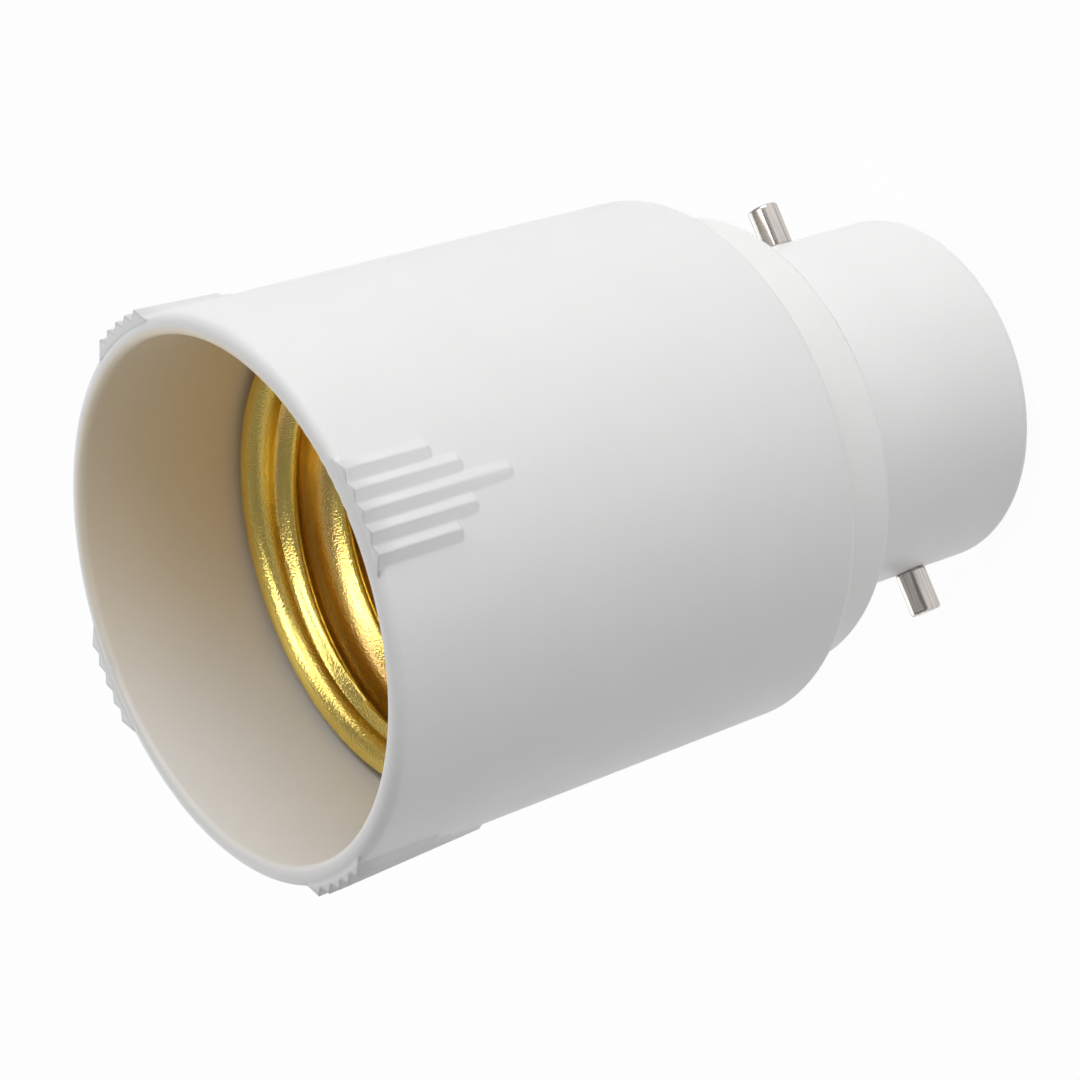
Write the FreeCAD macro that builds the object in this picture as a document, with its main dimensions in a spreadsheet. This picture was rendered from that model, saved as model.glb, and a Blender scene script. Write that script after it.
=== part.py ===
import FreeCAD, Part

import math
import os
import re

import Sketcher

# Lamp socket adapter: a two-pin bayonet lamp cap at the lower end, a skirted screw lampholder above it.
# The origin is on the axis, in the plane of the two end contacts. +Z points out of the lampholder's mouth.
# The bayonet pins lie along X, the end contacts along Y.

# Driving sizes in millimetres, apart from angles in degrees, counts and shares.
# Heights are above the end contacts.
SIZES = {
    # outer shell
    "mouth_height": 53.0,
    "body_end_height": 20.1,
    "skirt_flare": 0.45,
    "skirt_wall": 1.3,
    "shell_end_wall": 1.5,
    "shell_end_round": 0.6,
    "rim_round_share": 0.58,
    "rim_inner_share": 0.26,
    "snap_bead_proud": 0.4,
    "snap_bead_width": 1.0,
    "key_width": 2.4,
    "key_depth": 0.9,
    # grip ribs at the mouth
    "rib_proud": 0.52,
    "rib_end_proud": 0.19,
    "rib_width": 1.3,
    "rib_sink": 0.35,
    "rib_front_gap": 0.1,
    "rib_end_slope": 0.45,
    "rib_long": 10.0,
    "rib_medium": 7.1,
    "rib_short": 5.6,
    "rib_pitch_angle": 4.07,
    "rib_group_turn": 0.7,
    "rib_groups": 4,
    # cap base
    "contact_proud": 0.9,
    "cap_radius": 11.0,
    "cap_wall": 1.4,
    "cap_end_plate": 1.6,
    "cap_end_round": 0.8,
    "collar_step": 3.2,
    "collar_height": 4.4,
    "collar_wall": 1.5,
    "collar_round": 0.3,
    "root_round": 1.2,
    "flange_thickness": 1.5,
    "flange_ledge": 0.72,
    "pillar_radius": 2.0,
    "pillar_inset": 0.1,
    # bayonet pins
    "pin_radius": 0.98,
    "pin_proud": 2.8,
    "pin_height": 6.55,
    "pin_spigot_radius": 0.7,
    "pin_spigot_length": 2.6,
    "pin_shoulder_round": 0.15,
    "pin_tip_round": 0.2,
    # socket floor
    "floor_thickness": 1.4,
    "floor_ledge": 0.8,
    "island_proud": 0.6,
    "island_gap": 0.25,
    # screw shell
    "sheet": 0.35,
    "thread_crest_radius": 12.25,
    "thread_depth": 1.1,
    "thread_pitch": 3.629,
    "thread_band": 0.7,
    "thread_turns": 4,
    "first_ring_rise": 3.824,
    "lip_bead_radius": 0.48,
    "shell_corner_round": 0.9,
    "lower_wall_inset": 0.3,
    "shell_gap": 1.22,
    # screws that clamp the screw shell and the floor to the cap base
    "screw_wall_gap": 0.1,
    "screw_radius": 1.25,
    "screw_length": 9.0,
    "screw_head_radius": 2.05,
    "screw_head_thickness": 1.3,
    "screw_slot_width": 0.6,
    "screw_slot_depth": 0.6,
    # centre contact and its rivet
    "leaf_sheet": 0.4,
    "leaf_width": 3.8,
    "leaf_gap": 0.35,
    "leaf_back": 1.7,
    "leaf_front": 1.7,
    "leaf_crest_from_axis": 0.4,
    "leaf_crest_rise": 2.7,
    "leaf_tip_from_axis": 3.0,
    "leaf_tip_rise": 1.5,
    "leaf_bend": 0.7,
    "leaf_crest_bend": 1.3,
    "rivet_edge": 0.9,
    "rivet_radius": 0.95,
    "rivet_head_radius": 1.4,
    "rivet_head_thickness": 0.7,
    "rivet_tail_thickness": 0.5,
    # end contacts
    "contact_from_axis": 5.25,
    "contact_radius": 2.3,
    "contact_edge_round": 0.3,
    "contact_shank_radius": 1.2,
    "contact_bore_radius": 0.75,
    "contact_tail_radius": 1.6,
    "contact_tail_thickness": 0.5,
    # solder tags and leads
    "tag_sheet": 0.4,
    "tag_ring_radius": 2.3,
    "tag_tail_width": 1.8,
    "tag_tail_drop": 4.0,
    "tag_bend": 0.7,
    "lead_radius": 0.6,
    "lead_overlap": 3.0,
    # clearances
    "fit_gap": 0.05,
    "running_gap": 0.3,
}

doc = FreeCAD.newDocument("lamp_socket_adapter")
sheet = doc.addObject("Spreadsheet::Sheet", "Sizes")
for row, (alias, value) in enumerate(SIZES.items(), start=1):
    sheet.set(f"A{row}", alias)
    sheet.set(f"B{row}", str(value))
    sheet.setAlias(f"B{row}", alias)
doc.recompute()

# Derived sizes, as expressions of the cells.
CAP_END = "contact_proud"
COLLAR_RADIUS = "(cap_radius + collar_step)"
COLLAR_END = "(body_end_height - collar_height)"
SHELL_FLOOR = "(body_end_height + shell_end_wall)"
FLANGE_TOP = f"({SHELL_FLOOR} + flange_thickness)"
FLOOR_SEAT = f"({FLANGE_TOP} - floor_thickness)"
ISLAND_TOP = f"({FLANGE_TOP} + island_proud)"
BRASS_FLOOR_TOP = f"({FLANGE_TOP} + sheet)"
THREAD_ROOT = "(thread_crest_radius + thread_depth)"
LOWER_WALL = "(thread_crest_radius - lower_wall_inset)"
LIP_HEIGHT = (f"({BRASS_FLOOR_TOP} + first_ring_rise + thread_pitch * thread_turns - thread_band / 2"
              " + 2 * lip_bead_radius)")
# The bore clears the screw shell, and leaves the flange of the cap base a ledge outside the collar.
END_BORE = f"max({THREAD_ROOT} + sheet + shell_gap; {COLLAR_RADIUS} + flange_ledge)"
MOUTH_BORE = f"({END_BORE} + skirt_flare)"
BODY_END_RADIUS = f"({END_BORE} + skirt_wall)"
MOUTH_RADIUS = f"({MOUTH_BORE} + skirt_wall)"
SKIRT_TAPER = f"(({MOUTH_BORE} - {END_BORE}) / (mouth_height - {SHELL_FLOOR}))"
RIM_ROUND = "(skirt_wall * rim_round_share)"
RIM_INNER_ROUND = "(skirt_wall * rim_inner_share)"
RIB_CREST = f"({MOUTH_RADIUS} + rib_proud)"
RIB_FOOT = f"({MOUTH_RADIUS} - rib_sink)"
RIB_FALL = f"((rib_proud - rib_end_proud) / rib_long + {SKIRT_TAPER})"
FLANGE_RADIUS = f"({END_BORE} - fit_gap)"
FLOOR_RADIUS = f"({COLLAR_RADIUS} - collar_wall + floor_ledge)"
# The screws stand inside the screw shell's corner, over pillars that stay inside the cap.
SCREW_FROM_AXIS = (f"min({LOWER_WALL} - shell_corner_round - screw_head_radius - screw_wall_gap;"
                   " cap_radius - pillar_radius - pillar_inset)")
ISLAND_RADIUS = f"({SCREW_FROM_AXIS} - screw_head_radius - island_gap)"
RIVET_FROM_AXIS = f"({ISLAND_RADIUS} - rivet_head_radius - rivet_edge)"
TAG_SEAT = f"({FLOOR_SEAT} - tag_sheet)"
LEAF_BOTTOM = f"({ISLAND_TOP} + leaf_gap)"
LEAF_TOP = f"({LEAF_BOTTOM} + leaf_sheet)"


def cells(expression):
    """Return the expression with each alias written as a cell of the sheet."""
    return re.sub(r"[a-z][a-z_]+", lambda word: ("Sizes." if word[0] in SIZES else "") + word[0], expression)


def size(expression):
    """Return the value of an expression of the cells."""
    return float(sheet.evalExpression(cells(str(expression))))


def bind(target, path, expression):
    """Bind a property or a constraint to an expression of the cells."""
    target.setExpression(path, cells(str(expression)))


def new_body(label):
    """Add an empty body with the label of its node."""
    body = doc.addObject("PartDesign::Body", label)
    body.Label = label
    return body


def new_sketch(body, name, role, height=None):
    """Add a sketch on one of the body's origin planes, raised by a height if one is given."""
    sketch = body.newObject("Sketcher::SketchObject", name)
    plane = next(item for item in body.Origin.OriginFeatures if item.Role == role)
    sketch.AttachmentSupport = [(plane, "")]
    sketch.MapMode = "FlatFace"
    if height is not None:
        bind(sketch, "AttachmentOffset.Base.z", height)
    return sketch


def place_point(sketch, geometry, end, point):
    """Fix a point of a sketch's geometry by its two coordinates, each bound to the cells."""
    for kind, expression in zip(("DistanceX", "DistanceY"), point):
        index = sketch.addConstraint(Sketcher.Constraint(kind, -1, 1, geometry, end, size(expression)))
        bind(sketch, f"Constraints[{index}]", expression)


def draw_outline(sketch, points):
    """Draw a closed outline. A point is (x, y), or (x, y, radius) where it starts an arc to the next point:
    a positive radius turns anticlockwise from the point to the next, a negative one clockwise."""
    for index, point in enumerate(points):
        start = FreeCAD.Vector(size(point[0]), size(point[1]), 0)
        following = points[(index + 1) % len(points)]
        end = FreeCAD.Vector(size(following[0]), size(following[1]), 0)
        if len(point) == 2:
            edge = sketch.addGeometry(Part.LineSegment(start, end), False)
            place_point(sketch, edge, 1, point)
            continue
        radius = size(point[2])
        chord = end - start
        rise = math.sqrt(max(radius * radius - chord.Length * chord.Length / 4, 0))
        side = FreeCAD.Vector(-chord.y, chord.x, 0).normalize() * math.copysign(rise, radius)
        centre = (start + end) / 2 + side
        first, last = (start, end) if radius > 0 else (end, start)
        angles = [math.atan2(spot.y - centre.y, spot.x - centre.x) for spot in (first, last)]
        if angles[1] < angles[0]:
            angles[1] += 2 * math.pi
        circle = Part.Circle(centre, FreeCAD.Vector(0, 0, 1), abs(radius))
        edge = sketch.addGeometry(Part.ArcOfCircle(circle, angles[0], angles[1]), False)
        place_point(sketch, edge, 1 if radius > 0 else 2, point)
        index = sketch.addConstraint(Sketcher.Constraint("Radius", edge, abs(radius)))
        bind(sketch, f"Constraints[{index}]", f"abs({point[2]})")
    for index, point in enumerate(points):
        following = (index + 1) % len(points)
        end = 1 if len(point) == 3 and size(point[2]) < 0 else 2
        start = 2 if len(points[following]) == 3 and size(points[following][2]) < 0 else 1
        sketch.addConstraint(Sketcher.Constraint("Coincident", index, end, following, start))


def draw_circle(sketch, centre, radius):
    """Draw a circle whose centre and radius are bound to the cells."""
    middle = FreeCAD.Vector(size(centre[0]), size(centre[1]), 0)
    edge = sketch.addGeometry(Part.Circle(middle, FreeCAD.Vector(0, 0, 1), size(radius)), False)
    place_point(sketch, edge, 3, centre)
    index = sketch.addConstraint(Sketcher.Constraint("Radius", edge, size(radius)))
    bind(sketch, f"Constraints[{index}]", radius)


def revolve(body, name, points):
    """Turn a closed outline of radius and height about the Z axis."""
    sketch = new_sketch(body, f"{name}_outline", "XZ_Plane")
    draw_outline(sketch, points)
    feature = body.newObject("PartDesign::Revolution", name)
    feature.Profile = sketch
    feature.ReferenceAxis = (sketch, ["V_Axis"])
    feature.Angle = 360
    return feature


def extrude(body, kind, name, sketch, length, downwards):
    """Pad or pocket a sketch by a length. A pad runs down and a pocket cuts up where the flag says so."""
    feature = body.newObject(f"PartDesign::{kind}", name)
    feature.Profile = sketch
    feature.Reversed = downwards
    bind(feature, "Length", length)
    return feature


def around(body, name, originals, count):
    """Repeat features around the Z axis."""
    pattern = body.newObject("PartDesign::PolarPattern", name)
    pattern.Originals = originals
    pattern.Axis = (originals[0].Profile[0], ["N_Axis"])
    pattern.Angle = 360
    bind(pattern, "Occurrences", count)
    body.Tip = pattern
    return pattern


def drill(body, name, bottom, top, holes):
    """Cut round holes, each a centre and a radius, through the heights from bottom to top."""
    sketch = new_sketch(body, f"{name}_circles", "XY_Plane", bottom)
    for centre, radius in holes:
        draw_circle(sketch, centre, radius)
    return extrude(body, "Pocket", name, sketch, f"{top} - {bottom}", True)


def solid_feature(label, shape):
    """Add a node whose shape is worked out in code, with its origin at the part's own."""
    feature = doc.addObject("Part::Feature", label)
    feature.Label = label
    feature.Shape = shape
    feature.Placement = FreeCAD.Placement()
    return feature


def rounded_path(points, radii):
    """Return the edges of straight runs joined by tangent arcs, one radius for each inner point."""
    edges = []
    start = points[0]
    for corner, following, radius in zip(points[1:-1], points[2:], radii):
        back = (start - corner).normalize()
        ahead = (following - corner).normalize()
        half_turn = (math.pi - back.getAngle(ahead)) / 2
        reach = radius * math.tan(half_turn)
        entry = corner + back * reach
        leave = corner + ahead * reach
        middle = corner + (back + ahead).normalize() * radius * (1 / math.cos(half_turn) - 1)
        edges.append(Part.LineSegment(start, entry).toShape())
        edges.append(Part.Arc(entry, middle, leave).toShape())
        start = leave
    edges.append(Part.LineSegment(start, points[-1]).toShape())
    return edges


def bent_strip(points, radii, thickness, across):
    """Return a strip of sheet along a flat path, with its middle on the path and its width across it."""
    path = Part.Wire(rounded_path(points, radii))
    along = (points[1] - points[0]).normalize()
    normal = along.cross(across).normalize() * thickness / 2
    half = across / 2
    corners = [normal + half, normal - half, -normal - half, -normal + half]
    section = Part.makePolygon([points[0] + corner for corner in corners + corners[:1]])
    return path.makePipeShell([section], True, False)


def grip_rib(body, place, length):
    """Add one rib of a group as a loft of triangles: at the mouth, at its full length, and at its sunk tip."""
    turn = f"((rib_group_turn + rib_pitch_angle * {place}) * 1 deg)"
    spread = "(rib_width / 2 * (rib_proud + rib_sink) / rib_proud)"
    sections = []
    for depth, crest in (("rib_front_gap", RIB_CREST),
                         (length, f"({RIB_CREST} - {RIB_FALL} * {length})"),
                         (f"({length} + rib_end_slope)", f"({RIB_FOOT} + rib_sink / 8)")):
        name = f"rib_{place + 3}_section_{len(sections) + 1}"
        sketch = new_sketch(body, name, "XY_Plane", f"mouth_height - {depth}")
        draw_outline(sketch, [
            (f"{along} * cos({turn}) - {aside} * sin({turn})", f"{along} * sin({turn}) + {aside} * cos({turn})")
            for along, aside in ((RIB_FOOT, f"(-{spread})"), (crest, "0"), (RIB_FOOT, spread))])
        sections.append(sketch)
    rib = body.newObject("PartDesign::AdditiveLoft", f"rib_{place + 3}")
    rib.Profile = sections[0]
    rib.Sections = sections[1:]
    rib.Ruled = True
    return rib


def outer_shell():
    """The moulded skirt and body, open at the mouth, with a holed wall at its lower end."""
    body = new_body("outer_shell")
    snap_low = f"({FLANGE_TOP} + fit_gap)"
    snap_bore = f"({END_BORE} - snap_bead_proud)"
    revolve(body, "wall", [
        (f"{COLLAR_RADIUS} + fit_gap", "body_end_height"),
        (f"{BODY_END_RADIUS} - shell_end_round", "body_end_height", "shell_end_round"),
        (BODY_END_RADIUS, "body_end_height + shell_end_round"),
        (MOUTH_RADIUS, f"mouth_height - {RIM_ROUND}", RIM_ROUND),
        (f"{MOUTH_RADIUS} - {RIM_ROUND}", "mouth_height"),
        (f"{MOUTH_BORE} + {RIM_INNER_ROUND}", "mouth_height", RIM_INNER_ROUND),
        (MOUTH_BORE, f"mouth_height - {RIM_INNER_ROUND}"),
        (f"{END_BORE} + {SKIRT_TAPER} * snap_bead_width * 2", f"{snap_low} + snap_bead_width"),
        (snap_bore, f"{snap_low} + snap_bead_width / 2"),
        (snap_bore, f"{snap_low} + snap_bead_width / 4"),
        (END_BORE, snap_low),
        (END_BORE, SHELL_FLOOR),
        (f"{COLLAR_RADIUS} + fit_gap", SHELL_FLOOR),
    ])
    # Ribs: wedges that sink into the skirt towards their lower ends. The middle one of a group is the
    # longest and the outer ones are the shortest, like an arrowhead.
    ribs = [grip_rib(body, place, length) for place, length in (
        (-2, "rib_short"), (-1, "rib_medium"), (0, "rib_long"), (1, "rib_medium"), (2, "rib_short"))]
    around(body, "rib_groups_around", ribs, "rib_groups")
    # Two keys on the bore hold the cap base against turning.
    sketch = new_sketch(body, "key_outline", "XY_Plane", SHELL_FLOOR)
    draw_outline(sketch, [
        (f"{END_BORE} - key_depth", "-key_width / 2"),
        (f"{END_BORE} + skirt_wall / 2", "-key_width / 2"),
        (f"{END_BORE} + skirt_wall / 2", "key_width / 2"),
        (f"{END_BORE} - key_depth", "key_width / 2"),
    ])
    key = extrude(body, "Pad", "key", sketch, "flange_thickness", False)
    around(body, "keys_around", [key], "2")


def cap_base():
    """The moulded bayonet cap: a tube with an end plate, a stepped collar, and a flange inside the shell."""
    body = new_body("cap_base")
    revolve(body, "wall", [
        ("0", CAP_END),
        ("cap_radius - cap_end_round", CAP_END, "cap_end_round"),
        ("cap_radius", f"{CAP_END} + cap_end_round"),
        ("cap_radius", f"{COLLAR_END} - root_round", "-root_round"),
        ("cap_radius + root_round", COLLAR_END),
        (f"{COLLAR_RADIUS} - collar_round", COLLAR_END, "collar_round"),
        (COLLAR_RADIUS, f"{COLLAR_END} + collar_round"),
        (COLLAR_RADIUS, SHELL_FLOOR),
        (FLANGE_RADIUS, SHELL_FLOOR),
        (FLANGE_RADIUS, FLANGE_TOP),
        (f"{FLOOR_RADIUS} + fit_gap", FLANGE_TOP),
        (f"{FLOOR_RADIUS} + fit_gap", FLOOR_SEAT),
        (f"{COLLAR_RADIUS} - collar_wall", FLOOR_SEAT),
        (f"{COLLAR_RADIUS} - collar_wall", f"{COLLAR_END} + collar_wall"),
        ("cap_radius - cap_wall", f"{COLLAR_END} + collar_wall"),
        ("cap_radius - cap_wall", f"{CAP_END} + cap_end_plate"),
        ("0", f"{CAP_END} + cap_end_plate"),
    ])
    # Pillars for the two screws, inside the tube over the bayonet pins.
    plate_top = f"({CAP_END} + cap_end_plate)"
    sketch = new_sketch(body, "pillar_circle", "XY_Plane", plate_top)
    draw_circle(sketch, (SCREW_FROM_AXIS, "0"), "pillar_radius")
    pillar = extrude(body, "Pad", "pillar", sketch, f"{TAG_SEAT} - {plate_top}", False)
    around(body, "pillars_around", [pillar], "2")
    pilot_low = f"({BRASS_FLOOR_TOP} - screw_length - running_gap)"
    drill(body, "pilot_holes", pilot_low, FLANGE_TOP,
          [((f"{side} * {SCREW_FROM_AXIS}", "0"), "screw_radius + fit_gap") for side in (1, -1)])
    drill(body, "contact_holes", CAP_END, plate_top,
          [(("0", f"{side} * contact_from_axis"), "contact_shank_radius + fit_gap") for side in (1, -1)])
    # Seats for the spigots of the two bayonet pins, cut inwards from the wall on both sides.
    sketch = new_sketch(body, "spigot_seat_circle", "YZ_Plane", "cap_radius + root_round")
    draw_circle(sketch, ("0", "pin_height"), "pin_spigot_radius + fit_gap / 2")
    seat = extrude(body, "Pocket", "spigot_seat", sketch, "root_round + pin_spigot_length + fit_gap", False)
    pattern = body.newObject("PartDesign::PolarPattern", "spigot_seats_around")
    pattern.Originals = [seat]
    pattern.Axis = (next(item for item in body.Origin.OriginFeatures if item.Role == "Z_Axis"), [""])
    pattern.Angle = 360
    pattern.Occurrences = 2
    body.Tip = pattern
    # Notches in the flange take the keys of the outer shell.
    sketch = new_sketch(body, "notch_outline", "XY_Plane", SHELL_FLOOR)
    draw_outline(sketch, [
        (f"{END_BORE} - key_depth - fit_gap", "-key_width / 2 - fit_gap"),
        (f"{END_BORE} + skirt_wall", "-key_width / 2 - fit_gap"),
        (f"{END_BORE} + skirt_wall", "key_width / 2 + fit_gap"),
        (f"{END_BORE} - key_depth - fit_gap", "key_width / 2 + fit_gap"),
    ])
    notch = extrude(body, "Pocket", "notch", sketch, "flange_thickness", True)
    around(body, "notches_around", [notch], "2")


def bayonet_pin(number, side):
    """A steel pin whose spigot is pressed into the cap, up to a shoulder that bears on the wall."""
    body = new_body(f"bayonet_pin_{number}")
    shoulder = "pin_spigot_length"
    tip = "(pin_spigot_length + pin_proud)"
    revolve(body, "pin", [
        ("0", "0"),
        ("pin_spigot_radius", "0"),
        ("pin_spigot_radius", shoulder),
        ("pin_radius - pin_shoulder_round", shoulder, "pin_shoulder_round"),
        ("pin_radius", f"{shoulder} + pin_shoulder_round"),
        ("pin_radius", f"{tip} - pin_tip_round", "pin_tip_round"),
        ("pin_radius - pin_tip_round", tip),
        ("0", tip),
    ])
    body.Placement = FreeCAD.Placement(FreeCAD.Vector(), FreeCAD.Rotation(FreeCAD.Vector(0, 1, 0), 90 * side))
    bind(body, "Placement.Base.x", f"{side} * (cap_radius - pin_spigot_length)")
    bind(body, "Placement.Base.z", "pin_height")


def socket_floor():
    """The insulating disc on the cap base, with a raised island that keeps the screw shell off the leaf."""
    body = new_body("socket_floor")
    revolve(body, "disc", [
        ("0", FLOOR_SEAT),
        (FLOOR_RADIUS, FLOOR_SEAT),
        (FLOOR_RADIUS, FLANGE_TOP),
        (ISLAND_RADIUS, FLANGE_TOP),
        (ISLAND_RADIUS, ISLAND_TOP),
        ("0", ISLAND_TOP),
    ])
    drill(body, "screw_holes", FLOOR_SEAT, FLANGE_TOP,
          [((f"{side} * {SCREW_FROM_AXIS}", "0"), "screw_radius + fit_gap") for side in (1, -1)])
    drill(body, "rivet_hole", FLOOR_SEAT, ISLAND_TOP,
          [(("0", f"-{RIVET_FROM_AXIS}"), "rivet_radius + fit_gap")])


def screw_shell():
    """The screw shell of sheet brass: a floor, a wall with rolled rings, and a curled lip."""
    body = new_body("screw_shell")
    turns = int(size("thread_turns"))
    ramp = "((thread_pitch - 2 * thread_band) / 2)"
    lean = f"(sheet * tan(atan(thread_depth / {ramp}) / 2))"
    curl_z = f"({LIP_HEIGHT} - lip_bead_radius)"
    curl_r = f"({THREAD_ROOT} + lip_bead_radius)"
    first = f"({BRASS_FLOOR_TOP} + first_ring_rise)"
    floor_under = FLANGE_TOP
    inner = [(f"{ISLAND_RADIUS} + fit_gap * 3", BRASS_FLOOR_TOP),
             (f"{LOWER_WALL} - shell_corner_round", BRASS_FLOOR_TOP),
             (LOWER_WALL, f"{BRASS_FLOOR_TOP} + shell_corner_round", "-shell_corner_round")]
    outer = [(f"{ISLAND_RADIUS} + fit_gap * 3", floor_under),
             (f"{LOWER_WALL} - shell_corner_round", floor_under, "shell_corner_round + sheet"),
             (f"{LOWER_WALL} + sheet", f"{BRASS_FLOOR_TOP} + shell_corner_round")]
    for turn in range(turns):
        crest = f"({first} + thread_pitch * {turn})"
        # The lowest turn rises from the plain wall under the thread, which is a little narrower.
        radius = "thread_crest_radius"
        rise = f"({crest} + thread_band)"
        if turn == 0:
            radius = LOWER_WALL
            rise = f"({crest} + thread_band - {ramp} * lower_wall_inset / thread_depth)"
        inner += [(radius, rise),
                  (THREAD_ROOT, f"{crest} + thread_band + {ramp}")]
        outer += [(f"{radius} + sheet", f"{rise} - {lean}"),
                  (f"{THREAD_ROOT} + sheet", f"{crest} + thread_band + {ramp} - {lean}")]
        if turn < turns - 1:
            inner += [(THREAD_ROOT, f"{crest} + 2 * thread_band + {ramp}"),
                      ("thread_crest_radius", f"{crest} + thread_pitch")]
            outer += [(f"{THREAD_ROOT} + sheet", f"{crest} + 2 * thread_band + {ramp} + {lean}"),
                      ("thread_crest_radius + sheet", f"{crest} + thread_pitch + {lean}")]
    # The curl meets the wall's outside where its circle crosses that radius.
    under = f"({curl_z} - sqrt(lip_bead_radius ^ 2 - (lip_bead_radius - sheet) ^ 2))"
    outer.append((f"{THREAD_ROOT} + sheet", under, "lip_bead_radius"))
    top = [(f"{curl_r} + lip_bead_radius", curl_z, "lip_bead_radius"),
           (curl_r, LIP_HEIGHT, "lip_bead_radius"),
           (THREAD_ROOT, curl_z)]
    revolve(body, "wall", outer + top + inner[::-1])
    drill(body, "screw_holes", floor_under, BRASS_FLOOR_TOP,
          [((f"{side} * {SCREW_FROM_AXIS}", "0"), "screw_radius + fit_gap") for side in (1, -1)])


def shell_screw(number, side):
    """A slotted pan-head screw that clamps the screw shell and the floor to a pillar."""
    body = new_body(f"shell_screw_{number}")
    revolve(body, "screw", [
        ("0", "-screw_length"),
        ("screw_radius * 0.4", "-screw_length"),
        ("screw_radius", "-screw_length + screw_radius"),
        ("screw_radius", "0"),
        ("screw_head_radius", "0"),
        ("screw_head_radius", "screw_head_thickness / 2", "screw_head_thickness / 2"),
        ("screw_head_radius - screw_head_thickness / 2", "screw_head_thickness"),
        ("0", "screw_head_thickness"),
    ])
    sketch = new_sketch(body, "slot_outline", "XY_Plane", "screw_head_thickness - screw_slot_depth")
    draw_outline(sketch, [
        ("-screw_head_radius * 1.1", "-screw_slot_width / 2"),
        ("screw_head_radius * 1.1", "-screw_slot_width / 2"),
        ("screw_head_radius * 1.1", "screw_slot_width / 2"),
        ("-screw_head_radius * 1.1", "screw_slot_width / 2"),
    ])
    extrude(body, "Pocket", "slot", sketch, "screw_slot_depth", True)
    bind(body, "Placement.Base.x", f"{side} * {SCREW_FROM_AXIS}")
    bind(body, "Placement.Base.z", BRASS_FLOOR_TOP)


def centre_rivet():
    """The rivet that holds the leaf's tab over the island and the live tag under the floor."""
    body = new_body("centre_rivet")
    head_low = f"({LEAF_TOP} + running_gap)"
    tail_top = TAG_SEAT
    revolve(body, "rivet", [
        ("0", f"{tail_top} - rivet_tail_thickness"),
        ("rivet_head_radius - rivet_tail_thickness", f"{tail_top} - rivet_tail_thickness",
         "rivet_tail_thickness"),
        ("rivet_head_radius", tail_top),
        ("rivet_radius", tail_top),
        ("rivet_radius", head_low),
        ("rivet_head_radius", head_low, "rivet_head_thickness"),
        ("rivet_head_radius - rivet_head_thickness", f"{head_low} + rivet_head_thickness"),
        ("0", f"{head_low} + rivet_head_thickness"),
    ])
    bind(body, "Placement.Base.y", f"-{RIVET_FROM_AXIS}")


def centre_contact():
    """The spring leaf: a flat tab on the island, a rising finger, and a crest on the axis."""
    middle = size(LEAF_BOTTOM) + size("leaf_sheet") / 2
    root = -size(RIVET_FROM_AXIS)
    points = [FreeCAD.Vector(0, y, middle + rise) for y, rise in (
        (root - size("leaf_back"), 0),
        (root + size("leaf_front"), 0),
        (size("leaf_crest_from_axis"), size("leaf_crest_rise")),
        (size("leaf_tip_from_axis"), size("leaf_tip_rise")))]
    width = FreeCAD.Vector(size("leaf_width"), 0, 0)
    strip = bent_strip(points, [size("leaf_bend"), size("leaf_crest_bend")], size("leaf_sheet"), width)
    low = size(ISLAND_TOP)
    hole = Part.makeCylinder(size("rivet_radius + running_gap"), size(LEAF_TOP) - low + size("leaf_gap"),
                             FreeCAD.Vector(0, root, low))
    solid_feature("centre_contact", strip.cut(hole))


def end_contact(number, side):
    """A brass eyelet in the cap's end plate: a flat button outside and a bored shank for its lead."""
    body = new_body(f"end_contact_{number}")
    plate_top = f"({CAP_END} + cap_end_plate)"
    tail_top = f"({plate_top} + contact_tail_thickness)"
    revolve(body, "eyelet", [
        ("0", "0"),
        ("contact_radius - contact_edge_round", "0", "contact_edge_round"),
        ("contact_radius", "contact_edge_round"),
        ("contact_radius", CAP_END),
        ("contact_shank_radius", CAP_END),
        ("contact_shank_radius", plate_top),
        ("contact_tail_radius", plate_top),
        ("contact_tail_radius", tail_top),
        ("contact_bore_radius", tail_top),
        ("contact_bore_radius", f"{CAP_END} / 2"),
        ("0", f"{CAP_END} / 2"),
    ])
    bind(body, "Placement.Base.y", f"{side} * contact_from_axis")


def solder_tag(label, ring, hole_radius, inwards):
    """A solder tag: a ring about a fastener, with a tail that runs inwards and is bent down."""
    sheet_thickness = size("tag_sheet")
    base = FreeCAD.Vector(ring.x, ring.y, size(TAG_SEAT))
    disc = Part.makeCylinder(size("tag_ring_radius"), sheet_thickness, base)
    middle = base + FreeCAD.Vector(0, 0, sheet_thickness / 2)
    knee = middle + inwards * tag_reach()
    foot = knee - FreeCAD.Vector(0, 0, size("tag_tail_drop"))
    width = FreeCAD.Vector(-inwards.y, inwards.x, 0) * size("tag_tail_width")
    tail = bent_strip([middle, knee, foot], [size("tag_bend")], sheet_thickness, width)
    hole = Part.makeCylinder(hole_radius, sheet_thickness * 3, base - FreeCAD.Vector(0, 0, sheet_thickness))
    solid_feature(label, disc.fuse(tail).cut(hole).removeSplitter())


def tag_reach():
    """Return how far a tag's tail runs inwards from its fastener before it is bent down."""
    return size("tag_ring_radius + tag_bend")


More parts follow.
